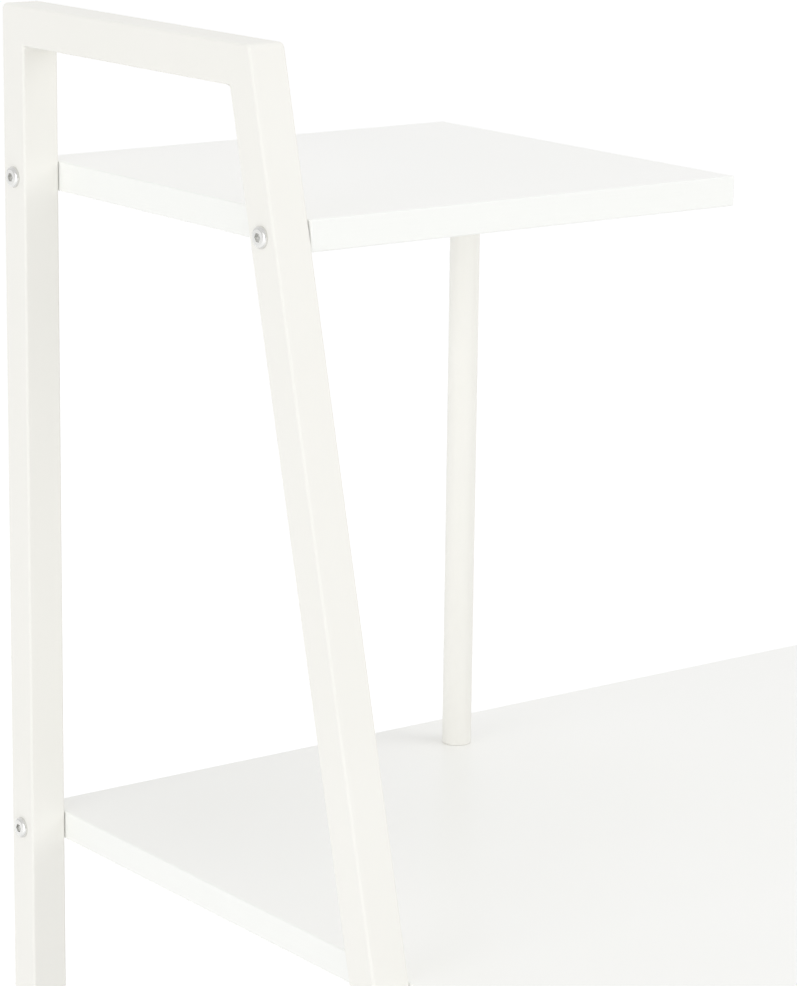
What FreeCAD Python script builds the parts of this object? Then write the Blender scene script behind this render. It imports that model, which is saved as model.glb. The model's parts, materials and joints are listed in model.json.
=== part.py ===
"""Ladder desk: two welded trapezoid side frames that carry a desktop and a small upper shelf.

Row frame: +X to the right, +Y to the back, +Z up. The origin is on the floor under the
middle of the desk. Lengths are in millimetres.
"""
import FreeCAD, Part

import os

import Sketcher
from FreeCAD import Vector

SIZES = {
    # Side frames
    "frame_height": 1170,
    "frame_width": 1020,
    "base_depth": 500,
    "top_depth": 215,
    "tube_side": 20,
    "tube_wall": 1.5,
    "tube_round": 1.5,
    "corner_round": 3.5,
    "foot_rise": 10,
    # Boards
    "board_thick": 15,
    "board_gap": 0.25,
    "band_thick": 1,
    "band_round": 0.8,
    "desktop_top": 753,
    "desktop_deep": 500,
    "shelf_top": 1092,
    "shelf_wide": 255,
    "shelf_deep": 236,
    # Round post between the desktop and the shelf
    "post_dia": 16,
    "post_wall": 1.2,
    "post_edge": 0.5,
    "post_inset": 14,
    "post_back": 39,
    "plug_long": 18,
    # Bolts with a low rounded head and a hexagon socket
    "bolt_dia": 6,
    "bolt_long": 55,
    "bolt_tip": 1,
    "head_dia": 10.6,
    "head_high": 2.2,
    "head_round": 1.7,
    "socket_flats": 4,
    "socket_deep": 2,
    # How much wider a bore is than what goes in it: snug bores, then drilled bolt holes
    "play": 0.1,
    "bolt_room": 1,
    # Barrel nuts in the board ends
    "barrel_dia": 10,
    "barrel_high": 11,
    "barrel_inset": 28,
    "bore_past": 9,
    "slot_wide": 1.2,
    # Fixings of the round post
    "stud_long": 26,
    "insert_dia": 10,
    "insert_high": 11,
    "washer_dia": 18,
    "washer_thick": 1.6,
    "post_bolt_long": 32,
    # Low tube across the back
    "stretcher_low": 120,
    "stretcher_bolt_long": 38,
    "block_long": 22,
    # Levelling feet
    "foot_dia": 20,
    "foot_disc": 3.5,
    "foot_hex": 13,
    "foot_high": 8.4,
    "foot_edge": 1,
    "foot_inset": 45,
    "stud_dia": 8,
    "stud_low": 3,
    "stud_high": 26,
    "nut_dia": 11,
    "nut_flange": 15,
    "nut_lip": 1,
    "nut_high": 15,
    "nut_play": 0.14,
}

# Expressions that several sub-parts share
LOOP_HEIGHT = "(Sizes.frame_height - Sizes.foot_rise)"
LEAN = f"atan((Sizes.base_depth - Sizes.top_depth) / {LOOP_HEIGHT})"
BACK = "(Sizes.base_depth / 2)"
HALF_TUBE = "(Sizes.tube_side / 2)"
OUTER_X = "(Sizes.frame_width / 2)"
INNER_X = "(Sizes.frame_width / 2 - Sizes.tube_side)"
DESKTOP_MID = "(Sizes.desktop_top - Sizes.board_thick / 2)"
SHELF_MID = "(Sizes.shelf_top - Sizes.board_thick / 2)"
STRETCHER_MID = f"(Sizes.stretcher_low + {HALF_TUBE})"
DESKTOP_WIDE = f"(2 * {INNER_X} - 2 * Sizes.board_gap)"
SHELF_LEFT = f"(-{INNER_X} + Sizes.board_gap)"
POST_X = f"({SHELF_LEFT} + Sizes.shelf_wide - Sizes.post_inset)"
POST_Y = f"({BACK} - Sizes.post_back)"
SHELF_LOW = "(Sizes.shelf_top - Sizes.board_thick)"
DESKTOP_LOW = "(Sizes.desktop_top - Sizes.board_thick)"
THREAD_BORE = "(Sizes.bolt_dia + Sizes.play)"
BOLT_HOLE = "(Sizes.bolt_dia + Sizes.bolt_room)"

doc = FreeCAD.newDocument("ladder_desk")
sheet = doc.addObject("Spreadsheet::Sheet", "Sizes")
nodes = []
cuts = []


def fill_sheet():
    """Write every driving dimension into the sheet, with its name as the alias."""
    for row, (name, size) in enumerate(SIZES.items(), 1):
        sheet.set(f"A{row}", name)
        sheet.set(f"B{row}", str(size))
        sheet.setAlias(f"B{row}", name)
    doc.recompute()


def value(expression):
    """What an expression on the sheet comes to, as a plain number."""
    result = sheet.evalExpression(expression)
    return float(getattr(result, "Value", result))


def leg_depth(height):
    """How far the middle of the leaning leg is in front of the back plane, at a height."""
    return (
        f"(Sizes.top_depth + (Sizes.frame_height - {height}) * tan({LEAN})"
        f" - {HALF_TUBE} / cos({LEAN}))"
    )


# Sketch and feature helpers


def new_body(node):
    """Start a sub-part whose label names its file."""
    body = doc.addObject("PartDesign::Body", node)
    body.Label = node
    nodes.append(body)
    return body


def origin_part(body, role):
    """A plane or an axis of a body's own origin."""
    return next(item for item in body.Origin.OriginFeatures if item.Role == role)


def new_sketch(body, name, role="XY_Plane", offset="0"):
    """Start a sketch on one of the body's origin planes, or at an offset along its normal."""
    sketch = body.newObject("Sketcher::SketchObject", f"{body.Label}_{name}")
    sketch.AttachmentSupport = (origin_part(body, role), [""])
    sketch.MapMode = "FlatFace"
    sketch.setExpression("AttachmentOffset.Base.z", offset)
    return sketch


def bind(sketch, name, kind, places, expression):
    """Add a dimension to a sketch and tie it to an expression."""
    constraint = Sketcher.Constraint(kind, *places, value(expression))
    sketch.renameConstraint(sketch.addConstraint(constraint), name)
    sketch.setExpression(f"Constraints.{name}", expression)


def polygon(sketch, corners):
    """Draw a closed outline of straight sides, each corner tied to a pair of expressions."""
    points = [Vector(value(across), value(up), 0) for across, up in corners]
    count = len(points)
    for index, point in enumerate(points):
        sketch.addGeometry(Part.LineSegment(point, points[(index + 1) % count]), False)
    for index in range(count):
        sketch.addConstraint(Sketcher.Constraint("Coincident", index, 2, (index + 1) % count, 1))
    for index, (across, up) in enumerate(corners):
        bind(sketch, f"across_{index}", "DistanceX", (-1, 1, index, 1), across)
        bind(sketch, f"up_{index}", "DistanceY", (-1, 1, index, 1), up)


def rectangle(sketch, left, low, wide, high):
    """Draw a rectangle from its lower left corner."""
    right = f"({left} + {wide})"
    top = f"({low} + {high})"
    polygon(sketch, [(left, low), (right, low), (right, top), (left, top)])


def hexagon(sketch, flats):
    """Draw a hexagon about the sketch's origin from its size across the flats."""
    reach = f"{flats} / 2 / cos(30 deg)"
    turns = range(0, 360, 60)
    polygon(sketch, [(f"{reach} * cos({turn} deg)", f"{reach} * sin({turn} deg)") for turn in turns])


def circle(sketch, across, up, diameter):
    """Draw a circle about a point."""
    middle = Vector(value(across), value(up), 0)
    shape = Part.Circle(middle, Vector(0, 0, 1), value(diameter) / 2)
    index = sketch.addGeometry(shape, False)
    bind(sketch, f"across_{index}", "DistanceX", (-1, 1, index, 3), across)
    bind(sketch, f"up_{index}", "DistanceY", (-1, 1, index, 3), up)
    bind(sketch, f"dia_{index}", "Diameter", (index,), diameter)


def pad(body, sketch, length, centred=False):
    """Extrude a sketch."""
    feature = body.newObject("PartDesign::Pad", f"{sketch.Label}_pad")
    feature.Profile = sketch
    feature.setExpression("Length", length)
    feature.SideType = "Symmetric" if centred else "One side"
    doc.recompute()
    return feature


def pocket(body, sketch, length, centred=False, forward=False):
    """Cut a sketch out of the body, and note the volume before the cut."""
    before = body.Tip.Shape.Volume
    feature = body.newObject("PartDesign::Pocket", f"{sketch.Label}_pocket")
    feature.Profile = sketch
    feature.setExpression("Length", length)
    feature.SideType = "Symmetric" if centred else "One side"
    feature.Reversed = forward
    doc.recompute()
    cuts.append((feature.Label, before, feature.Shape.Volume))
    return feature


def revolve(body, sketch, axis):
    """Turn a half outline a full turn about one of its sketch's axes."""
    feature = body.newObject("PartDesign::Revolution", f"{sketch.Label}_turned")
    feature.Profile = sketch
    feature.ReferenceAxis = (sketch, [axis])
    feature.Angle = 360
    doc.recompute()
    return feature


def fillet(body, base, wanted, radius):
    """Round the edges of a feature for which wanted(edge) is true."""
    names = [f"Edge{index}" for index, edge in enumerate(base.Shape.Edges, 1) if wanted(edge)]
    feature = body.newObject("PartDesign::Fillet", f"{base.Label}_rounded")
    feature.Base = (base, names)
    feature.setExpression("Radius", radius)
    doc.recompute()
    return feature


def repeat(body, features, row_length=None, mirrored=False):
    """Copy features once along the body's Y axis, mirror them about its YZ plane, or both."""
    pattern = body.newObject("PartDesign::MultiTransform", f"{body.Label}_repeated")
    steps = []
    if row_length:
        row = body.newObject("PartDesign::LinearPattern", f"{body.Label}_row")
        row.Direction = (origin_part(body, "Y_Axis"), [""])
        row.Reversed = True
        row.Occurrences = 2
        row.setExpression("Length", row_length)
        steps.append(row)
    if mirrored:
        mirror = body.newObject("PartDesign::Mirrored", f"{body.Label}_mirror")
        mirror.MirrorPlane = (origin_part(body, "YZ_Plane"), [""])
        steps.append(mirror)
    pattern.Transformations = steps
    pattern.Originals = features
    body.Tip = pattern
    doc.recompute()


def place(body, across, back, up, turn="rotation(vector(0; 0; 1); 0 deg)"):
    """Tie a sub-part's place in the desk to expressions."""
    body.setExpression("Placement", f"placement(vector({across}; {back}; {up}); {turn})")


# Square tube


def mitred_outline(sketch, length, near_mitre, far_mitre):
    """Draw a mitred tube from the side, with its outer side along the sketch's X axis.

    Both ends are cut at a mitre angle measured from the tube. A construction line spans
    the two sharp outer corners, and a small arc grinds each of them round.
    """
    long = value(length)
    deep = value("Sizes.tube_side")
    small = value("Sizes.corner_round")
    near_run = value(f"1 / tan({near_mitre})")
    far_run = value(f"1 / tan({far_mitre})")
    near_way = Vector(-value(f"cos({near_mitre})"), -value(f"sin({near_mitre})"), 0)
    far_way = Vector(value(f"cos({far_mitre})"), -value(f"sin({far_mitre})"), 0)
    down = Vector(0, -1, 0)
    near_centre = Vector(small * near_run, small, 0)
    far_centre = Vector(long - small * far_run, small, 0)
    near_inner = Vector(deep * near_run, deep, 0)
    far_inner = Vector(long - deep * far_run, deep, 0)

    def arc(centre, first, last):
        middle = (first + last).normalize()
        return Part.Arc(centre + first * small, centre + middle * small, centre + last * small)

    def line(start, end, construction=False):
        return sketch.addGeometry(Part.LineSegment(start, end), construction)

    outer = line(near_centre + down * small, far_centre + down * small)
    far_arc = sketch.addGeometry(arc(far_centre, down, far_way), False)
    far_cut = line(far_centre + far_way * small, far_inner)
    inner = line(far_inner, near_inner)
    near_cut = line(near_inner, near_centre + near_way * small)
    near_arc = sketch.addGeometry(arc(near_centre, near_way, down), False)
    span = line(Vector(0, 0, 0), Vector(long, 0, 0), construction=True)

    rules = [
        ("Tangent", outer, 2, far_arc, 1),
        ("Coincident", far_arc, 2, far_cut, 1),
        ("Coincident", far_cut, 2, inner, 1),
        ("Coincident", inner, 2, near_cut, 1),
        ("Coincident", near_cut, 2, near_arc, 1),
        ("Tangent", near_arc, 2, outer, 1),
        ("Horizontal", outer),
        ("PointOnObject", outer, 1, -1),
        ("Horizontal", inner),
        ("Coincident", span, 1, -1, 1),
        ("Horizontal", span),
        ("PointOnObject", near_arc, 3, near_cut),
        ("PointOnObject", far_arc, 3, far_cut),
        ("PointOnObject", span, 1, near_cut),
        ("PointOnObject", span, 2, far_cut),
    ]
    for rule in rules:
        sketch.addConstraint(Sketcher.Constraint(*rule))
    bind(sketch, "outer_length", "DistanceX", (span, 1, span, 2), length)
    bind(sketch, "tube_depth", "DistanceY", (-1, 1, inner, 1), "Sizes.tube_side")
    bind(sketch, "near_round", "Radius", (near_arc,), "Sizes.corner_round")
    bind(sketch, "far_round", "Radius", (far_arc,), "Sizes.corner_round")
    bind(sketch, "near_shift", "DistanceX", (-1, 1, inner, 2), f"Sizes.tube_side / tan({near_mitre})")
    far_shift = f"{length} - Sizes.tube_side / tan({far_mitre})"
    bind(sketch, "far_shift", "DistanceX", (-1, 1, inner, 1), far_shift)


def along_tube(edge):
    """Whether an edge runs along a tube that lies along X, on its outer or inner side."""
    box = edge.BoundBox
    return box.XLength > value("Sizes.tube_side * 2") and box.YLength < value("Sizes.tube_wall")


def hollow(body, length):
    """Bore the square inside of a tube, out through both of its ends."""
    sketch = new_sketch(body, "inside")
    spare = "Sizes.tube_side"
    room = "(Sizes.tube_side - 2 * Sizes.tube_wall)"
    rectangle(sketch, f"-{spare}", "Sizes.tube_wall", f"({length} + 2 * {spare})", room)
    pocket(body, sketch, room, centred=True)


def cross_holes(body, places):
    """Drill bolt holes through both side walls of a tube, at places along it."""
    sketch = new_sketch(body, "bolt_holes")
    for across in places:
        circle(sketch, across, HALF_TUBE, BOLT_HOLE)
    pocket(body, sketch, "2 * Sizes.tube_side", centred=True)


def frame_tube(node, length, near_mitre, far_mitre, holes=()):
    """Make one tube of a side frame, with its outer side along X and its inside towards Y."""
    body = new_body(node)
    outline = new_sketch(body, "outline")
    mitred_outline(outline, length, near_mitre, far_mitre)
    blank = pad(body, outline, "Sizes.tube_side", centred=True)
    fillet(body, blank, along_tube, "Sizes.tube_round")
    hollow(body, length)
    if holes:
        cross_holes(body, holes)
    return body


# Side frames: each is a loop of floor rail, leaning leg, top bar and back post

SQUARE = "45 deg"
WIDE_MITRE = f"((90 deg + {LEAN}) / 2)"
SHARP_MITRE = f"((90 deg - {LEAN}) / 2)"
LEG_LONG = f"({LOOP_HEIGHT} / cos({LEAN}))"
# Turns the plane of a loop, drawn with X forwards and Y up, to stand in the desk
UPRIGHT = "rotation(vector(0; 0; 1); -90 deg) * rotation(vector(1; 0; 0); 90 deg)"


def loop_place(body, middle, forward, up, turn):
    """Stand a tube in its loop, from its near outer corner and its turn in the loop's plane."""
    spin = f"rotation(vector(0; 0; 1); {turn})"
    place(body, middle, f"({BACK} - {forward})", f"(Sizes.foot_rise + {up})", f"{UPRIGHT} * {spin}")


def down_post(height):
    """How far along the back post, from its top, a height above the floor is."""
    return f"(Sizes.frame_height - {height})"


def up_leg(height):
    """How far along the leg's outer side, from its foot, the leg's middle is at a height."""
    rise = f"({height} - Sizes.foot_rise)"
    return f"({rise} / cos({LEAN}) + {HALF_TUBE} * tan({LEAN}))"


def foot_holes(rail):
    """Drill the lower wall of a floor rail for its two threaded inserts."""
    sketch = new_sketch(rail, "foot_holes", "XZ_Plane")
    for forward in ("Sizes.foot_inset", "Sizes.base_depth - Sizes.foot_inset"):
        circle(sketch, forward, "0", "(Sizes.nut_dia + Sizes.play)")
    pocket(rail, sketch, "2 * Sizes.tube_wall")


def side_frame(side, middle, board_heights):
    """Make the four tubes of one side frame, drilled where the boards and stretcher bolt on."""
    post_holes = [down_post(height) for height in board_heights]
    post_holes.append(down_post(STRETCHER_MID))
    leg_holes = [up_leg(height) for height in board_heights]

    rail = frame_tube(f"{side}_floor_rail", "Sizes.base_depth", SQUARE, SHARP_MITRE)
    foot_holes(rail)
    loop_place(rail, middle, "0", "0", "0 deg")

    leg = frame_tube(f"{side}_front_leg", LEG_LONG, SHARP_MITRE, WIDE_MITRE, leg_holes)
    loop_place(leg, middle, "Sizes.base_depth", "0", f"90 deg + {LEAN}")

    bar = frame_tube(f"{side}_top_bar", "Sizes.top_depth", WIDE_MITRE, SQUARE)
    loop_place(bar, middle, "Sizes.top_depth", LOOP_HEIGHT, "180 deg")

    post = frame_tube(f"{side}_back_post", LOOP_HEIGHT, SQUARE, SQUARE, post_holes)
    loop_place(post, middle, "0", LOOP_HEIGHT, "270 deg")


# Boards with edge bands


def board_core(node, wide, deep):
    """Make a board without its bands: left end at X 0, back at Y 0, underside at Z 0."""
    body = new_body(node)
    sketch = new_sketch(body, "outline")
    band = "Sizes.band_thick"
    rectangle(sketch, band, f"(-{deep} + {band})", f"({wide} - 2 * {band})", f"({deep} - 2 * {band})")
    pad(body, sketch, "Sizes.board_thick")
    return body


def end_bores(body, start, backs, away=False):
    """Bore a board's end for bolts: along X from the end, and up from below for barrel nuts."""
    reach = "(Sizes.barrel_inset + Sizes.bore_past)"
    side = "right" if away else "left"
    bores = new_sketch(body, f"{side}_bolt_bores", "YZ_Plane", start)
    for back in backs:
        circle(bores, f"-{back}", "Sizes.board_thick / 2", BOLT_HOLE)
    pocket(body, bores, reach, forward=not away)

    barrel_x = f"({start} - Sizes.barrel_inset)" if away else f"({start} + Sizes.barrel_inset)"
    barrels = new_sketch(body, f"{side}_barrel_bores")
    for back in backs:
        circle(barrels, barrel_x, f"-{back}", "(Sizes.barrel_dia + Sizes.play)")
    depth = "((Sizes.board_thick + Sizes.barrel_high) / 2 + Sizes.play)"
    pocket(body, barrels, depth, forward=True)


def edge_band(node, length, across, back, up, turn):
    """Make one band: its outer face looks along -Y before it is turned about Z."""
    body = new_body(node)
    sketch = new_sketch(body, "outline")
    rectangle(sketch, "0", "0", length, "Sizes.band_thick")
    blank = pad(body, sketch, "Sizes.board_thick")

    def outer(edge):
        return edge.BoundBox.YMax < value("Sizes.band_thick / 2")

    fillet(body, blank, outer, "Sizes.band_round")
    place(body, across, back, up, f"rotation(vector(0; 0; 1); {turn} deg)")
    return body


def end_band_bores(body, backs):
    """Drill an end band where the bolts pass it, at places along the band."""
    sketch = new_sketch(body, "bolt_holes", "XZ_Plane")
    for back in backs:
        circle(sketch, back, "Sizes.board_thick / 2", BOLT_HOLE)
    pocket(body, sketch, "2 * Sizes.band_thick", centred=True)


def banded_board(node, wide, deep, left, top):
    """Make a board and its four bands. The front and back bands cover the ends of the others."""
    core = board_core(node, wide, deep)
    low = f"({top} - Sizes.board_thick)"
    place(core, left, BACK, low)
    band = "Sizes.band_thick"
    short = f"({deep} - 2 * {band})"
    right = f"({left} + {wide})"
    front = f"({BACK} - {deep})"
    edge_band(f"{node}_front_band", wide, left, front, low, 0)
    edge_band(f"{node}_back_band", wide, right, BACK, low, 180)
    right_band = edge_band(f"{node}_right_band", short, right, f"({front} + {band})", low, 90)
    left_band = edge_band(f"{node}_left_band", short, left, f"({BACK} - {band})", low, -90)
    return core, left_band, right_band


def desktop():
    """Make the desktop, bolted at both ends and drilled for the round post's bolt."""
    backs = [HALF_TUBE, leg_depth(DESKTOP_MID)]
    core, left_band, right_band = banded_board(
        "desktop", DESKTOP_WIDE, "Sizes.desktop_deep", f"(-{DESKTOP_WIDE} / 2)", "Sizes.desktop_top"
    )
    end_bores(core, "Sizes.band_thick", backs)
    end_bores(core, f"({DESKTOP_WIDE} - Sizes.band_thick)", backs, away=True)
    post_hole = new_sketch(core, "post_bolt_hole")
    circle(post_hole, f"({POST_X} + {DESKTOP_WIDE} / 2)", "-Sizes.post_back", BOLT_HOLE)
    pocket(core, post_hole, "2 * Sizes.board_thick", centred=True)
    short = "(Sizes.desktop_deep - 2 * Sizes.band_thick)"
    end_band_bores(left_band, [f"({back} - Sizes.band_thick)" for back in backs])
    end_band_bores(right_band, [f"({short} - {back} + Sizes.band_thick)" for back in backs])


def upper_shelf():
    """Make the small shelf, bolted at its left end and held up by the post at its right."""
    backs = [HALF_TUBE, leg_depth(SHELF_MID)]
    core, left_band, _ = banded_board(
        "upper_shelf", "Sizes.shelf_wide", "Sizes.shelf_deep", SHELF_LEFT, "Sizes.shelf_top"
    )
    end_bores(core, "Sizes.band_thick", backs)
    insert_bore = new_sketch(core, "insert_bore")
    insert_x = "(Sizes.shelf_wide - Sizes.post_inset)"
    circle(insert_bore, insert_x, "-Sizes.post_back", "(Sizes.insert_dia + Sizes.play)")
    pocket(core, insert_bore, "(Sizes.insert_high + Sizes.play)", forward=True)
    end_band_bores(left_band, [f"({back} - Sizes.band_thick)" for back in backs])


# Round post with a threaded plug in each end


def ring(node, outer, inner, long, up):
    """Make an upright round tube on the post's axis from its outer and inner diameters."""
    body = new_body(node)
    sketch = new_sketch(body, "section")
    circle(sketch, "0", "0", outer)
    circle(sketch, "0", "0", inner)
    wall = pad(body, sketch, long)
    place(body, POST_X, POST_Y, up)
    return body, wall


def round_post():
    """Make the post, its two plugs, the stud and insert above it and the washer below it."""
    bore = "(Sizes.post_dia - 2 * Sizes.post_wall)"
    plug_dia = f"({bore} - Sizes.play)"
    post_long = f"({SHELF_LOW} - Sizes.desktop_top)"
    post, wall = ring("shelf_post", "Sizes.post_dia", bore, post_long, "Sizes.desktop_top")

    def outer_rim(edge):
        circular = isinstance(edge.Curve, Part.Circle)
        return circular and edge.Curve.Radius > value("Sizes.post_dia / 2 - Sizes.post_wall / 2")

    fillet(post, wall, outer_rim, "Sizes.post_edge")
    ring("post_lower_plug", plug_dia, THREAD_BORE, "Sizes.plug_long", "Sizes.desktop_top")
    ring("post_upper_plug", plug_dia, THREAD_BORE, "Sizes.plug_long", f"({SHELF_LOW} - Sizes.plug_long)")
    ring("shelf_insert", "Sizes.insert_dia", THREAD_BORE, "Sizes.insert_high", SHELF_LOW)
    washer_low = f"({DESKTOP_LOW} - Sizes.washer_thick)"
    ring("post_washer", "Sizes.washer_dia", BOLT_HOLE, "Sizes.washer_thick", washer_low)

    stud = new_body("post_stud")
    profile = new_sketch(stud, "half_outline", "XZ_Plane")
    edge = "(Sizes.bolt_dia / 2)"
    tip = "Sizes.bolt_tip"
    corners = [
        ("0", "0"),
        (f"({edge} - {tip})", "0"),
        (edge, tip),
        (edge, f"(Sizes.stud_long - {tip})"),
        (f"({edge} - {tip})", "Sizes.stud_long"),
        ("0", "Sizes.stud_long"),
    ]
    polygon(profile, corners)
    revolve(stud, profile, "V_Axis")
    stud_top = f"({SHELF_LOW} + Sizes.insert_high)"
    place(stud, POST_X, POST_Y, f"({stud_top} - Sizes.stud_long)")


# Bolts and barrel nuts


def bolt(body, start, long):
    """Make a bolt along X with the top of its head at a start. Return its features."""
    seat = f"({start} + Sizes.head_high)"
    end = f"({seat} + {long})"
    head = "(Sizes.head_dia / 2)"
    shank = "(Sizes.bolt_dia / 2)"
    corners = [
        (start, "0"),
        (start, head),
        (seat, head),
        (seat, shank),
        (f"({end} - Sizes.bolt_tip)", shank),
        (end, f"({shank} - Sizes.bolt_tip)"),
        (end, "0"),
    ]
    profile = new_sketch(body, "half_outline")
    polygon(profile, corners)
    turned = revolve(body, profile, "H_Axis")

    def rim(edge):
        circular = isinstance(edge.Curve, Part.Circle)
        return circular and abs(edge.BoundBox.XMax - value(start)) < value("Sizes.play")

    domed = fillet(body, turned, rim, "Sizes.head_round")
    socket = new_sketch(body, "socket", "YZ_Plane", start)
    hexagon(socket, "Sizes.socket_flats")
    sunk = pocket(body, socket, "Sizes.socket_deep", forward=True)
    return [turned, domed, sunk]


def bolt_group(node, height, long, row_length=None, mirrored=False):
    """Make the bolts that come in from the outside of the left frame, or of both frames."""
    body = new_body(node)
    features = bolt(body, f"(-{OUTER_X} - Sizes.head_high)", long)
    repeat(body, features, row_length, mirrored)
    place(body, "0", f"({BACK} - {HALF_TUBE})", height)


def barrel_nuts(node, across, height, row_length, mirrored=False):
    """Make the barrel nuts under the left end of a board, or under both ends."""
    body = new_body(node)
    outline = new_sketch(body, "outline")
    circle(outline, across, "0", "Sizes.barrel_dia")
    barrel = pad(body, outline, "Sizes.barrel_high", centred=True)
    thread = new_sketch(body, "thread_bore", "YZ_Plane", across)
    circle(thread, "0", "0", THREAD_BORE)
    bored = pocket(body, thread, "2 * Sizes.barrel_dia", centred=True)
    slot = new_sketch(body, "slot", "XY_Plane", "-Sizes.barrel_high / 2")
    wide = "Sizes.slot_wide"
    long = "Sizes.barrel_dia"
    rectangle(slot, f"({across} - {long})", f"(-{wide} / 2)", f"(2 * {long})", wide)
    slotted = pocket(body, slot, wide, forward=True)
    repeat(body, [barrel, bored, slotted], row_length, mirrored)
    place(body, "0", f"({BACK} - {HALF_TUBE})", height)


def board_fixings():
    """Make the bolts and barrel nuts of both boards, and the bolt up into the round post."""
    desktop_row = f"({leg_depth(DESKTOP_MID)} - {HALF_TUBE})"
    shelf_row = f"({leg_depth(SHELF_MID)} - {HALF_TUBE})"
    bolt_group("desktop_bolts", DESKTOP_MID, "Sizes.bolt_long", desktop_row, mirrored=True)
    bolt_group("shelf_bolts", SHELF_MID, "Sizes.bolt_long", shelf_row)
    inset = "(Sizes.band_thick + Sizes.barrel_inset)"
    desktop_nut_x = f"(-{DESKTOP_WIDE} / 2 + {inset})"
    shelf_nut_x = f"({SHELF_LEFT} + {inset})"
    barrel_nuts("desktop_barrel_nuts", desktop_nut_x, DESKTOP_MID, desktop_row, mirrored=True)
    barrel_nuts("shelf_barrel_nuts", shelf_nut_x, SHELF_MID, shelf_row)

    post_bolt = new_body("post_bolt")
    bolt(post_bolt, "0", "Sizes.post_bolt_long")
    head_low = f"({DESKTOP_LOW} - Sizes.washer_thick - Sizes.head_high)"
    place(post_bolt, POST_X, POST_Y, head_low, "rotation(vector(0; 1; 0); -90 deg)")


# Low tube across the back


def stretcher():
    """Make the tube between the back posts, the threaded block in each end, and its bolts."""
    body = new_body("back_stretcher")
    outline = new_sketch(body, "outline", "YZ_Plane")
    side = "Sizes.tube_side"
    rectangle(outline, f"(-{HALF_TUBE})", f"(-{HALF_TUBE})", side, side)
    long = f"(2 * {INNER_X})"
    blank = pad(body, outline, long, centred=True)

    def lengthwise(edge):
        return edge.BoundBox.XLength > value(INNER_X)

    fillet(body, blank, lengthwise, "Sizes.tube_round")
    inside = new_sketch(body, "inside", "YZ_Plane")
    room = "(Sizes.tube_side - 2 * Sizes.tube_wall)"
    rectangle(inside, f"(-{room} / 2)", f"(-{room} / 2)", room, room)
    pocket(body, inside, f"(2 * {long})", centred=True)
    place(body, "0", f"({BACK} - {HALF_TUBE})", STRETCHER_MID)

    blocks = new_body("stretcher_end_blocks")
    section = new_sketch(blocks, "section", "YZ_Plane", f"-{INNER_X}")
    fit = f"({room} - 2 * Sizes.play)"
    rectangle(section, f"(-{fit} / 2)", f"(-{fit} / 2)", fit, fit)
    circle(section, "0", "0", THREAD_BORE)
    block = pad(blocks, section, "Sizes.block_long")
    repeat(blocks, [block], mirrored=True)
    place(blocks, "0", f"({BACK} - {HALF_TUBE})", STRETCHER_MID)

    bolt_group("stretcher_bolts", STRETCHER_MID, "Sizes.stretcher_bolt_long", mirrored=True)


# Levelling feet


def foot(place_name, across, back):
    """Make one levelling foot: a moulded pad with a hexagon boss, and a threaded stud in it."""
    body = new_body(f"foot_pad_{place_name}")
    profile = new_sketch(body, "half_outline", "XZ_Plane")
    edge = "(Sizes.foot_dia / 2)"
    boss = "(Sizes.foot_hex / 2)"
    bevel = "Sizes.foot_edge"
    corners = [
        ("0", "0"),
        (f"({edge} - {bevel})", "0"),
        (edge, bevel),
        (edge, f"(Sizes.foot_disc - {bevel})"),
        (boss, "(Sizes.foot_disc + Sizes.foot_edge)"),
        ("0", "(Sizes.foot_disc + Sizes.foot_edge)"),
    ]
    polygon(profile, corners)
    revolve(body, profile, "V_Axis")
    grip = new_sketch(body, "hexagon", "XY_Plane", "Sizes.foot_disc")
    hexagon(grip, "Sizes.foot_hex")
    pad(body, grip, "(Sizes.foot_high - Sizes.foot_disc)")
    seat = new_sketch(body, "stud_seat", "XY_Plane", "Sizes.stud_low")
    circle(seat, "0", "0", "(Sizes.stud_dia + Sizes.play)")
    pocket(body, seat, "Sizes.foot_high", forward=True)
    place(body, across, back, "0")

    stud = new_body(f"foot_stud_{place_name}")
    outline = new_sketch(stud, "half_outline", "XZ_Plane")
    thread = "(Sizes.stud_dia / 2)"
    corners = [
        ("0", "Sizes.stud_low"),
        (thread, "Sizes.stud_low"),
        (thread, "(Sizes.stud_high - Sizes.bolt_tip)"),
        (f"({thread} - Sizes.bolt_tip)", "Sizes.stud_high"),
        ("0", "Sizes.stud_high"),
    ]
    polygon(outline, corners)
    revolve(stud, outline, "V_Axis")
    place(stud, across, back, "0")


def sketch_axis(sketch, across):
    """Draw an upright construction line through a sketch and return its axis name."""
    start = Vector(value(across), 0, 0)
    line = sketch.addGeometry(Part.LineSegment(start, start + Vector(0, 1, 0)), True)
    sketch.addConstraint(Sketcher.Constraint("Vertical", line))
    bind(sketch, "axis_across", "DistanceX", (-1, 1, line, 1), across)
    sketch.addConstraint(Sketcher.Constraint("PointOnObject", line, 1, -1))
    return "Axis0"


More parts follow.
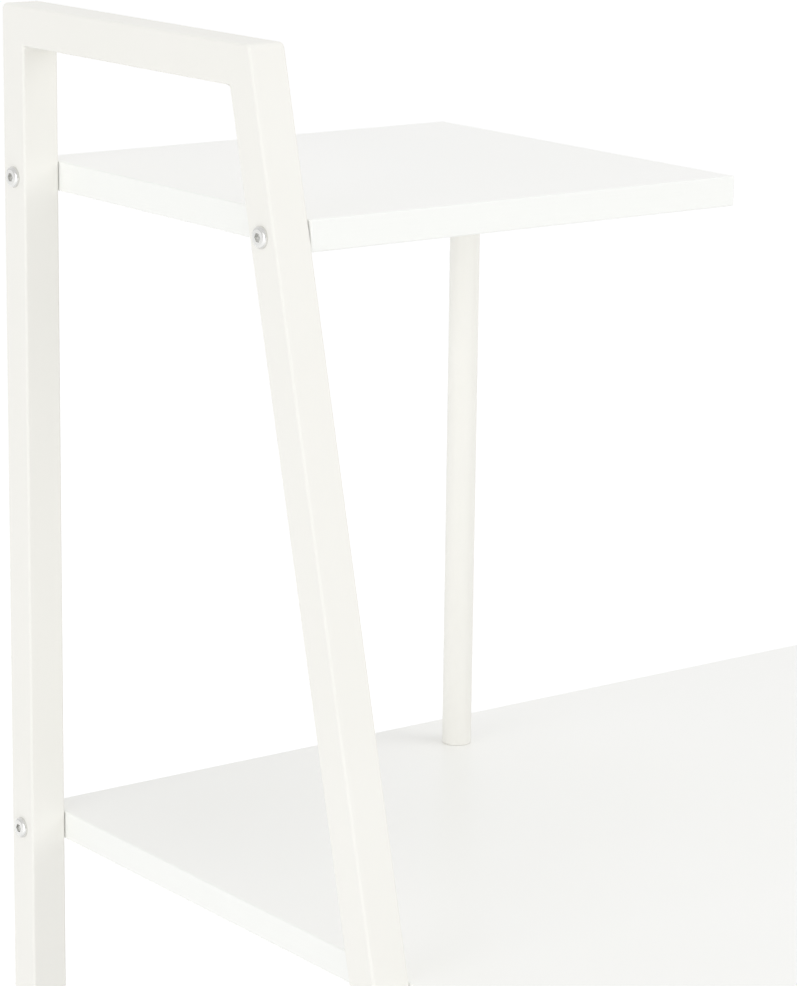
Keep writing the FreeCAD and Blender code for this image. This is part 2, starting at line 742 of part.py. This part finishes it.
def feet():
    """Make the four feet and the flanged nuts that they screw into."""
    rail_x = f"({OUTER_X} - {HALF_TUBE})"
    rear = f"({BACK} - Sizes.foot_inset)"
    front = f"(Sizes.foot_inset - {BACK})"
    for side, across in (("left", f"(-{rail_x})"), ("right", rail_x)):
        foot(f"rear_{side}", across, rear)
        foot(f"front_{side}", across, front)

    nuts = new_body("foot_nuts")
    profile = new_sketch(nuts, "half_outline", "XZ_Plane")
    middle = f"-{rail_x}"
    bore = f"({middle} + (Sizes.stud_dia + Sizes.nut_play) / 2)"
    barrel = f"({middle} + Sizes.nut_dia / 2)"
    flange = f"({middle} + Sizes.nut_flange / 2)"
    corners = [
        (bore, "-Sizes.nut_lip"),
        (flange, "-Sizes.nut_lip"),
        (flange, "0"),
        (barrel, "0"),
        (barrel, "Sizes.nut_high"),
        (bore, "Sizes.nut_high"),
    ]
    polygon(profile, corners)
    nut = revolve(nuts, profile, sketch_axis(profile, middle))
    repeat(nuts, [nut], "(Sizes.base_depth - 2 * Sizes.foot_inset)", mirrored=True)
    place(nuts, "0", rear, "Sizes.foot_rise")


def check_model():
    """Stop if a feature failed, a cut took nothing away, or a sub-part is not a sound solid."""
    doc.recompute()
    for item in doc.Objects:
        if "Invalid" in item.State or "Error" in item.State:
            raise RuntimeError(f"{item.Label} failed: {item.State}")
    for label, before, after in cuts:
        if not after < before:
            raise RuntimeError(f"{label} cuts nothing")
    for body in nodes:
        if body.Shape.isNull() or not body.Shape.isValid() or not body.Shape.Solids:
            raise RuntimeError(f"{body.Label} is not a valid solid")


def write_parts():
    """Write each sub-part to a file of its own."""
    os.makedirs("parts", exist_ok=True)
    for body in nodes:
        body.Shape.exportStep(f"parts/{body.Label}.step")
        print(body.Label, len(body.Shape.Solids), round(body.Shape.Volume))


fill_sheet()
side_frame("left", f"(-{OUTER_X} + {HALF_TUBE})", [DESKTOP_MID, SHELF_MID])
side_frame("right", f"({OUTER_X} - {HALF_TUBE})", [DESKTOP_MID])
desktop()
upper_shelf()
round_post()
board_fixings()
stretcher()
feet()
check_model()
write_parts()
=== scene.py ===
"""Ladder desk in its finishes: powder-coated tube, melamine boards, zinc-plated fixings.

Lengths are in metres: +X right, +Y back and +Z up, from the floor under the middle of the desk.
"""

import json
import math

import bmesh
import bpy
from mathutils import Matrix, Vector

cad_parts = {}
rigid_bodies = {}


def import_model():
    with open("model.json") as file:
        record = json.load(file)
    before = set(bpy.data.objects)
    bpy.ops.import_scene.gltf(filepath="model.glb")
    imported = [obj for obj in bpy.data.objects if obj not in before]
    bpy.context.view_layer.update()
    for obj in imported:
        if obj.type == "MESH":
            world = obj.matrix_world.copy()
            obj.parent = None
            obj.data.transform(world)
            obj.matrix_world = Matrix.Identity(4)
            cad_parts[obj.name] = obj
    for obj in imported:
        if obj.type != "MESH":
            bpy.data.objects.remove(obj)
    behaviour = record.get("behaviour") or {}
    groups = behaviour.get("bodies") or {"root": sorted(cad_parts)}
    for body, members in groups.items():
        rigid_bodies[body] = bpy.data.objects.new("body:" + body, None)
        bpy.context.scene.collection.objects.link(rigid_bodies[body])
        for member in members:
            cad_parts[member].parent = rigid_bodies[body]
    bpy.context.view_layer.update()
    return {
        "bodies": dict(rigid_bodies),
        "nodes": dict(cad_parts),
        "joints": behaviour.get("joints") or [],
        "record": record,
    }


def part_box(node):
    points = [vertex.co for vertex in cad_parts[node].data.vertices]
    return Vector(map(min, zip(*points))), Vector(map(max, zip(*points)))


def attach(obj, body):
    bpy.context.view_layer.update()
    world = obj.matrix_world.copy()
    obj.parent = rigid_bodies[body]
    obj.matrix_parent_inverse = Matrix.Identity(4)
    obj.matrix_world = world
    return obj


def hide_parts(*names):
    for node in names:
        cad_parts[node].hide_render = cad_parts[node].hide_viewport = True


MM = 0.001

# The desk's two ends, and which way along X each one lies
ENDS = (("left", -1), ("right", 1))

# Side frames, over the outsides of their tubes
FRAME_WIDTH = 1020 * MM
FRAME_TOP = 1170 * MM
FOOT_RISE = 10 * MM
BASE_DEPTH = 500 * MM
TOP_DEPTH = 215 * MM
TUBE = 20 * MM

# Fillet welds in the frames' inner corners
WELD_RADIUS = 3 * MM
WELD_WIDE = 18 * MM
WELD_STEPS = 6

# Levelling feet, on a coarse M8 thread with the usual flats on its crests and roots
CORNERS = ("front_left", "front_right", "rear_left", "rear_right")
THREAD_PITCH = 1.25 * MM
THREAD_DEPTH = 0.77 * MM
CREST = THREAD_PITCH / 8
FLANK = THREAD_PITCH * 5 / 16
THREAD_STEPS = 24
MERGE_WITHIN = 0.001 * MM

# How bright the room is, where 1 is white: to matt surfaces, and at the foot of its wall
ROOM_LIGHT = 0.72
WALL_FOOT = 0.82
# The way from the desk to the brightest part of the wall, past the desk's right rear corner
BRIGHT_WALL = (0.58, 0.77, 0.26)
# How far from the desk the floor's painted glow starts, makes it white, starts to dim and meets the
# wall's grey
FLOOR_RINGS = (0.2, 2.1, 12, 45)
FLOOR_SIDE = 160
# A little over white, so that no noise greys it
FLOOR_WHITE = 1.02

# What the soft boxes look at: the middle of the desk, a little towards its shelf
LIT_MIDDLE = (-0.2, 0, 0.8)

# The camera: its lens in millimetres and where it stands, then how far it is turned, dipped and tilted
LENS = 131.62
CAMERA_PLACE = (-1.4205, -1.2942, 1.3509)
CAMERA_TURN = math.radians(-36.884)
CAMERA_DIP = math.radians(13.475)
CAMERA_TILT = math.radians(0.727)

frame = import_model()


# Materials


def from_hex(code):
    """Turn an sRGB hex colour into linear red, green, blue and alpha."""
    parts = [int(code[start:start + 2], 16) / 255 for start in (1, 3, 5)]
    linear = [part / 12.92 if part <= 0.04045 else ((part + 0.055) / 1.055) ** 2.4 for part in parts]
    return (*linear, 1)


def per_mm(size):
    """Give the scale of a texture whose features are a size in millimetres."""
    return 1 / (size * MM)


def new_material(name):
    """Start an empty material."""
    material = bpy.data.materials.new(name)
    material.use_nodes = True
    material.node_tree.nodes.clear()
    return material


def add_node(owner, kind, inputs=None, **settings):
    """Add a node to a material or world, set it up, and fill its inputs with values or other outputs."""
    tree = owner.node_tree
    node = tree.nodes.new(kind)
    for name, setting in settings.items():
        setattr(node, name, setting)
    for name, source in (inputs or {}).items():
        if isinstance(source, bpy.types.NodeSocket):
            tree.links.new(source, node.inputs[name])
        else:
            node.inputs[name].default_value = source
    return node


def powder_coat():
    """Powder coat on steel tube: polyester powder, sprayed on and baked.

    It gives the eye a warm white, with a satin sheen that breaks up a little on its orange peel.
    """
    material = new_material("satin_powder_coat_on_steel_tube")
    place = add_node(material, "ShaderNodeTexCoord").outputs["Object"]
    cloud = add_node(material, "ShaderNodeTexNoise", {
        "Vector": place, "Scale": per_mm(90), "Detail": 2})
    tone = add_node(material, "ShaderNodeMix", {
        "Factor": cloud.outputs["Fac"], "A": from_hex("#F2F1EB"), "B": from_hex("#F5F4EF")},
        data_type="RGBA")
    peel = add_node(material, "ShaderNodeTexNoise", {
        "Vector": place, "Scale": per_mm(2.2), "Detail": 3, "Roughness": 0.45})
    gloss = add_node(material, "ShaderNodeMapRange", {
        "Value": peel.outputs["Fac"], "To Min": 0.34, "To Max": 0.42})
    relief = add_node(material, "ShaderNodeBump", {
        "Strength": 0.35, "Distance": 0.04 * MM, "Height": peel.outputs["Fac"]})
    shader = add_node(material, "ShaderNodeBsdfPrincipled", {
        "Base Color": tone.outputs["Result"], "Roughness": gloss.outputs["Result"],
        "IOR": 1.5, "Normal": relief.outputs["Normal"]})
    add_node(material, "ShaderNodeOutputMaterial", {"Surface": shader.outputs["BSDF"]})
    return material


def melamine():
    """Particle board faced with melamine paper, pressed hot under a finely pebbled plate.

    It gives the eye an even white with a satin sheen, and raw brown chips in its bores.
    """
    material = new_material("melamine_faced_particle_board")
    coordinates = add_node(material, "ShaderNodeTexCoord")
    place = coordinates.outputs["Object"]

    # A board's edges are under its bands, so any other face that isn't level is the wall of a bore
    facing = add_node(material, "ShaderNodeSeparateXYZ", {"Vector": coordinates.outputs["Normal"]})
    upright = add_node(material, "ShaderNodeMath", {0: facing.outputs["Z"]}, operation="ABSOLUTE")
    bored = add_node(material, "ShaderNodeMath", {0: upright.outputs[0], 1: 0.5}, operation="LESS_THAN")

    cloud = add_node(material, "ShaderNodeTexNoise", {
        "Vector": place, "Scale": per_mm(140), "Detail": 2})
    skin = add_node(material, "ShaderNodeMix", {
        "Factor": cloud.outputs["Fac"], "A": from_hex("#FAFAF7"), "B": from_hex("#FCFCFA")},
        data_type="RGBA")
    chips = add_node(material, "ShaderNodeTexVoronoi", {
        "Vector": place, "Scale": per_mm(2.5), "Randomness": 1})
    chip_tone = add_node(material, "ShaderNodeMix", {
        "Factor": chips.outputs["Distance"], "A": from_hex("#C9A877"), "B": from_hex("#8F6E45")},
        data_type="RGBA")
    colour = add_node(material, "ShaderNodeMix", {
        "Factor": bored.outputs[0], "A": skin.outputs["Result"], "B": chip_tone.outputs["Result"]},
        data_type="RGBA")
    # The press plate's pebble is about 0.3 mm, and is drawn coarser so that it shows
    pebble = add_node(material, "ShaderNodeTexNoise", {
        "Vector": place, "Scale": per_mm(1.4), "Detail": 1, "Roughness": 0.4})
    gloss = add_node(material, "ShaderNodeMapRange", {
        "Value": pebble.outputs["Fac"], "To Min": 0.27, "To Max": 0.31})
    relief = add_node(material, "ShaderNodeBump", {
        "Strength": 0.2, "Distance": 0.025 * MM, "Height": pebble.outputs["Fac"]})
    shader = add_node(material, "ShaderNodeBsdfPrincipled", {
        "Base Color": colour.outputs["Result"], "Roughness": gloss.outputs["Result"],
        "IOR": 1.5, "Normal": relief.outputs["Normal"]})
    add_node(material, "ShaderNodeOutputMaterial", {"Surface": shader.outputs["BSDF"]})
    return material


def edge_band():
    """ABS edge band: extruded, glued on and trimmed with a scraper.

    It gives the eye a smooth satin white with faint lines along the board.
    """
    material = new_material("extruded_abs_edge_band")
    place = add_node(material, "ShaderNodeTexCoord").outputs["Object"]
    stretched = add_node(material, "ShaderNodeMapping", {
        "Vector": place, "Scale": (0.01, 0.01, 1)})
    # The scraper's lines are about 0.2 mm apart, and are drawn coarser so that they show
    lines = add_node(material, "ShaderNodeTexNoise", {
        "Vector": stretched.outputs["Vector"], "Scale": per_mm(0.6), "Detail": 2})
    tone = add_node(material, "ShaderNodeMix", {
        "Factor": lines.outputs["Fac"], "A": from_hex("#F7F8F5"), "B": from_hex("#FAFBF8")},
        data_type="RGBA")
    relief = add_node(material, "ShaderNodeBump", {
        "Strength": 0.2, "Distance": 0.02 * MM, "Height": lines.outputs["Fac"]})
    shader = add_node(material, "ShaderNodeBsdfPrincipled", {
        "Base Color": tone.outputs["Result"], "Roughness": 0.38, "IOR": 1.53,
        "Normal": relief.outputs["Normal"]})
    add_node(material, "ShaderNodeOutputMaterial", {"Surface": shader.outputs["BSDF"]})
    return material


def zinc_plate():
    """Bright zinc plate on steel, laid on in a plating bath.

    It gives the eye a cold grey metal that shines and is a little cloudy.
    """
    material = new_material("bright_zinc_plated_steel")
    place = add_node(material, "ShaderNodeTexCoord").outputs["Object"]
    cloud = add_node(material, "ShaderNodeTexNoise", {
        "Vector": place, "Scale": per_mm(3), "Detail": 3})
    tone = add_node(material, "ShaderNodeMix", {
        "Factor": cloud.outputs["Fac"], "A": from_hex("#DADAD8"), "B": from_hex("#EAEAE8")},
        data_type="RGBA")
    gloss = add_node(material, "ShaderNodeMapRange", {
        "Value": cloud.outputs["Fac"], "To Min": 0.16, "To Max": 0.3})
    shader = add_node(material, "ShaderNodeBsdfPrincipled", {
        "Base Color": tone.outputs["Result"], "Metallic": 1.0, "Roughness": gloss.outputs["Result"]})
    add_node(material, "ShaderNodeOutputMaterial", {"Surface": shader.outputs["BSDF"]})
    return material


def foot_plastic():
    """Polyethylene, shaped in a spark-eroded mould.

    It gives the eye a dark waxy grey, dulled by the mould's fine grain.
    """
    material = new_material("moulded_dark_polyethylene")
    place = add_node(material, "ShaderNodeTexCoord").outputs["Object"]
    # The mould's grain is about 0.1 mm, and is drawn coarser so that it shows
    grain = add_node(material, "ShaderNodeTexNoise", {
        "Vector": place, "Scale": per_mm(0.5), "Detail": 3})
    tone = add_node(material, "ShaderNodeMix", {
        "Factor": grain.outputs["Fac"], "A": from_hex("#26272A"), "B": from_hex("#313236")},
        data_type="RGBA")
    relief = add_node(material, "ShaderNodeBump", {
        "Strength": 0.4, "Distance": 0.05 * MM, "Height": grain.outputs["Fac"]})
    shader = add_node(material, "ShaderNodeBsdfPrincipled", {
        "Base Color": tone.outputs["Result"], "Roughness": 0.55, "IOR": 1.5,
        "Normal": relief.outputs["Normal"]})
    add_node(material, "ShaderNodeOutputMaterial", {"Surface": shader.outputs["BSDF"]})
    return material


FINISHES = {
    "powder_coat": powder_coat(),
    "melamine_board": melamine(),
    "edge_band": edge_band(),
    "zinc_plated_steel": zinc_plate(),
    "foot_plastic": foot_plastic(),
}
for subpart in frame["record"]["subparts"]:
    for slot in frame["nodes"][subpart["node"]].material_slots:
        slot.material = FINISHES[subpart["material_slot"]]


# Welds and threads


def new_piece(name, shape, finish, body):
    """Turn a finished bmesh into a piece that rides on a body, in one of the desk's finishes."""
    mesh = bpy.data.meshes.new(name)
    shape.to_mesh(mesh)
    shape.free()
    mesh.materials.append(FINISHES[finish])
    piece = bpy.data.objects.new(name, mesh)
    bpy.context.collection.objects.link(piece)
    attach(piece, body)
    return piece


def fillet_weld(name, middle, corner, first, second):
    """Lay a small concave weld in the inner corner of two tubes.

    The corner is a back and an up coordinate, and the two directions run away from it
    along the tubes' inner faces, in that plane.
    """
    corner = Vector((middle, *corner))
    first = Vector((0, *first)).normalized()
    second = Vector((0, *second)).normalized()
    half = first.angle(second) / 2
    centre = corner + (first + second).normalized() * (WELD_RADIUS / math.sin(half))
    start = corner + first * (WELD_RADIUS / math.tan(half))

    shape = bmesh.new()
    shape.verts.new(start)
    bmesh.ops.spin(
        shape, geom=shape.verts[:], cent=centre, axis=second.cross(first).normalized(),
        angle=math.pi - 2 * half, steps=WELD_STEPS)
    shape.verts.new(corner)
    face = shape.faces.new(shape.verts)
    bmesh.ops.translate(shape, verts=shape.verts[:], vec=(-WELD_WIDE / 2, 0, 0))
    grown = bmesh.ops.extrude_face_region(shape, geom=[face])["geom"]
    moved = [item for item in grown if isinstance(item, bmesh.types.BMVert)]
    bmesh.ops.translate(shape, verts=moved, vec=(WELD_WIDE, 0, 0))
    bmesh.ops.recalc_face_normals(shape, faces=shape.faces[:])
    new_piece(name, shape, "powder_coat", "desk")


def side_frame_welds(side, middle):
    """Weld the four inner corners of one side frame, whose tubes are centred on a place along X."""
    lean = math.atan((BASE_DEPTH - TOP_DEPTH) / (FRAME_TOP - FOOT_RISE))
    inside_back = BASE_DEPTH / 2 - TUBE
    leg = (math.sin(lean), math.cos(lean))

    def inside_leg(up):
        """Give where the leg's inner face is, front to back, at a height."""
        outside = BASE_DEPTH / 2 - TOP_DEPTH - (FRAME_TOP - up) * math.tan(lean)
        return outside + TUBE / math.cos(lean)

    low = FOOT_RISE + TUBE
    high = FRAME_TOP - TUBE
    fillet_weld(f"{side}_weld_top_back", middle, (inside_back, high), (0, -1), (-1, 0))
    fillet_weld(f"{side}_weld_top_front", middle, (inside_leg(high), high), (-leg[0], -leg[1]), (1, 0))
    fillet_weld(f"{side}_weld_low_back", middle, (inside_back, low), (0, 1), (-1, 0))
    fillet_weld(f"{side}_weld_low_front", middle, (inside_leg(low), low), leg, (1, 0))


def threaded_stud(corner):
    """Wind a real thread round a foot's stud, and cut its ends flat."""
    node = f"foot_stud_{corner}"
    low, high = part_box(node)
    middle = (low + high) / 2
    radius = (high[0] - low[0]) / 2
    # One more turn at each end, for the cuts
    turns = math.ceil((high[2] - low[2]) / THREAD_PITCH) + 2

    shape = bmesh.new()
    outline = []
    for turn in range(turns):
        up = low[2] + (turn - 1) * THREAD_PITCH
        for reach, rise in (
            (radius, 0),
            (radius, CREST),
            (radius - THREAD_DEPTH, CREST + FLANK),
            (radius - THREAD_DEPTH, THREAD_PITCH - FLANK),
        ):
            outline.append(shape.verts.new((middle[0] + reach, middle[1], up + rise)))
    for lower, upper in zip(outline, outline[1:]):
        shape.edges.new((lower, upper))
    bmesh.ops.spin(
        shape, geom=shape.verts[:] + shape.edges[:], cent=middle, axis=(0, 0, 1),
        dvec=(0, 0, THREAD_PITCH / THREAD_STEPS), angle=math.tau, steps=THREAD_STEPS)
    bmesh.ops.remove_doubles(shape, verts=shape.verts[:], dist=MERGE_WITHIN)
    for end, outwards in ((low, (0, 0, -1)), (high, (0, 0, 1))):
        everything = shape.verts[:] + shape.edges[:] + shape.faces[:]
        cut = bmesh.ops.bisect_plane(
            shape, geom=everything, plane_co=end, plane_no=outwards, clear_outer=True)["geom_cut"]
        rim = [item for item in cut if isinstance(item, bmesh.types.BMEdge)]
        bmesh.ops.edgeloop_fill(shape, edges=rim)
    bmesh.ops.recalc_face_normals(shape, faces=shape.faces[:])
    stud = new_piece(f"threaded_stud_{corner}", shape, "zinc_plated_steel", f"foot_{corner}")
    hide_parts(node)


for frame_end, frame_side in ENDS:
    side_frame_welds(frame_end, frame_side * (FRAME_WIDTH - TUBE) / 2)
for foot_corner in CORNERS:
    threaded_stud(foot_corner)


# Studio


def studio_floor():
    """Lay a wide floor, plainly lit and shadowed by the desk, with a painted glow that only the camera
    and reflections see: it makes the floor white round the desk and dims it to the wall's grey far off.
    """
    material = new_material("white_studio_floor")
    paint = from_hex("#F4F4F4")
    plain = paint[0] * ROOM_LIGHT
    place = add_node(material, "ShaderNodeTexCoord").outputs["Object"]
    away = add_node(material, "ShaderNodeVectorMath", {0: place}, operation="LENGTH")
    near, white, dim, far = FLOOR_RINGS
    # The painted glow: none by the desk, white past the near rings, dimmed to the wall's grey far off
    brighten = add_node(material, "ShaderNodeMapRange", {
        "Value": away.outputs["Value"], "From Min": near, "From Max": white,
        "To Max": FLOOR_WHITE - plain}, interpolation_type="SMOOTHSTEP")
    darken = add_node(material, "ShaderNodeMapRange", {
        "Value": away.outputs["Value"], "From Min": dim, "From Max": far,
        "To Max": FLOOR_WHITE - WALL_FOOT}, interpolation_type="SMOOTHSTEP")
    glow = add_node(material, "ShaderNodeMath", {
        0: brighten.outputs["Result"], 1: darken.outputs["Result"]}, operation="SUBTRACT")
    rays = add_node(material, "ShaderNodeLightPath")
    seen = add_node(material, "ShaderNodeMath", {
        0: rays.outputs["Is Camera Ray"], 1: rays.outputs["Is Glossy Ray"]}, operation="MAXIMUM")
    strength = add_node(material, "ShaderNodeMath", {
        0: seen.outputs[0], 1: glow.outputs[0]}, operation="MULTIPLY")
    matte = add_node(material, "ShaderNodeBsdfDiffuse", {"Color": paint})
    light = add_node(material, "ShaderNodeEmission", {"Strength": strength.outputs[0]})
    both = add_node(material, "ShaderNodeAddShader", {0: matte.outputs[0], 1: light.outputs[0]})
    add_node(material, "ShaderNodeOutputMaterial", {"Surface": both.outputs[0]})
    bpy.ops.mesh.primitive_plane_add(size=FLOOR_SIDE)
    floor = bpy.context.object
    floor.name = "floor"
    floor.data.materials.append(material)
    return floor


def keep_under_feet(floor):
    """Lower the floor by as much as the feet are screwed out, so that no foot sinks into it.

    Their travels add up, so the floor stops where one foot's whole travel ends.
    """
    for corner in CORNERS:
        sink = floor.constraints.new("COPY_LOCATION")
        sink.target = frame["bodies"][f"foot_{corner}"]
        sink.use_x = sink.use_y = False
        sink.use_offset = True
    lowest = floor.constraints.new("LIMIT_LOCATION")
    lowest.use_min_z = True
    lowest.min_z = -max(joint["range_m"][1] for joint in frame["joints"])


def studio_world():
    """Surround the studio with even light.

    To the eye its wall is pale grey, and turns white upwards and towards its brightest part.
    """
    world = bpy.data.worlds.new("soft_white_room")
    world.use_nodes = True
    world.node_tree.nodes.clear()
    place = add_node(world, "ShaderNodeTexCoord").outputs["Generated"]
    direction = add_node(world, "ShaderNodeSeparateXYZ", {"Vector": place})
    # A direction's Z is the sine of how far up it looks
    up = add_node(world, "ShaderNodeMapRange", {
        "Value": direction.outputs["Z"], "From Min": 0.03, "From Max": 0.22})
    towards = add_node(world, "ShaderNodeVectorMath", {0: place, 1: BRIGHT_WALL}, operation="DOT_PRODUCT")
    near = add_node(world, "ShaderNodeMapRange", {
        "Value": towards.outputs["Value"], "From Min": 0.2, "From Max": 0.9},
        interpolation_type="SMOOTHSTEP")
    white = add_node(world, "ShaderNodeMath", {
        0: up.outputs["Result"], 1: near.outputs["Result"]}, operation="MULTIPLY")
    wall = add_node(world, "ShaderNodeMapRange", {
        "Value": white.outputs[0], "To Min": WALL_FOOT, "To Max": 1})
    rays = add_node(world, "ShaderNodeLightPath")
    seen = add_node(world, "ShaderNodeMath", {
        0: rays.outputs["Is Camera Ray"], 1: rays.outputs["Is Glossy Ray"]}, operation="MAXIMUM")
    level = add_node(world, "ShaderNodeMapRange", {
        "Value": seen.outputs[0], "To Min": ROOM_LIGHT, "To Max": wall.outputs["Result"]})
    room = add_node(world, "ShaderNodeBackground", {
        "Color": from_hex("#FFFFFF"), "Strength": level.outputs["Result"]})
    add_node(world, "ShaderNodeOutputWorld", {"Surface": room.outputs["Background"]})
    bpy.context.scene.world = world


def soft_box(name, place, target, size, power):
    """Hang a square area light that looks at a target. Glossy surfaces don't mirror it."""
    light = bpy.data.lights.new(name, "AREA")
    light.shape = "SQUARE"
    light.size = size
    light.energy = power
    lamp = bpy.data.objects.new(name, light)
    lamp.location = place
    lamp.rotation_euler = (Vector(target) - Vector(place)).to_track_quat("-Z", "Y").to_euler()
    lamp.visible_glossy = False
    bpy.context.collection.objects.link(lamp)
    return lamp


def zinc_glints():
    """Hang a lamp off each end of the desk that only the zinc mirrors, so that its domed heads shine."""
    zinc = bpy.data.collections.new("zinc_pieces")
    for piece in bpy.context.scene.objects:
        if FINISHES["zinc_plated_steel"].name in piece.material_slots:
            zinc.objects.link(piece)
    for end, side in ENDS:
        lamp = soft_box(
            f"{end}_glint", place=(side * 3.8, -1.8, 1.5), target=(side * 0.5, 0, 0.9),
            size=3.2, power=38)
        lamp.visible_glossy = True
        lamp.visible_diffuse = False
        lamp.light_linking.receiver_collection = zinc


def studio_camera():
    """Stand the camera in front of the desk's left end, looking a little down."""
    camera = bpy.data.objects.new("camera", bpy.data.cameras.new("camera"))
    camera.data.sensor_width = 36
    camera.data.lens = LENS
    turn = Matrix.Rotation(CAMERA_TURN, 4, "Z")
    level_less_dip = Matrix.Rotation(math.radians(90) - CAMERA_DIP, 4, "X")
    tilt = Matrix.Rotation(CAMERA_TILT, 4, "Z")
    camera.matrix_world = Matrix.Translation(CAMERA_PLACE) @ turn @ level_less_dip @ tilt
    bpy.context.collection.objects.link(camera)
    bpy.context.scene.camera = camera


keep_under_feet(studio_floor())
studio_world()
soft_box("key", place=(2.1, -2.7, 3.0), target=LIT_MIDDLE, size=2.4, power=30)
soft_box("fill", place=(-4.2, -0.8, 1.4), target=LIT_MIDDLE, size=2.5, power=34)
soft_box("front", place=(-2.0, -3.2, 1.6), target=LIT_MIDDLE, size=2.0, power=12)
soft_box("top", place=(0.1, -0.4, 3.4), target=(-0.1, 0, 0.8), size=1.6, power=6.5)
zinc_glints()
studio_camera()
bpy.context.scene.view_settings.view_transform = "Standard"
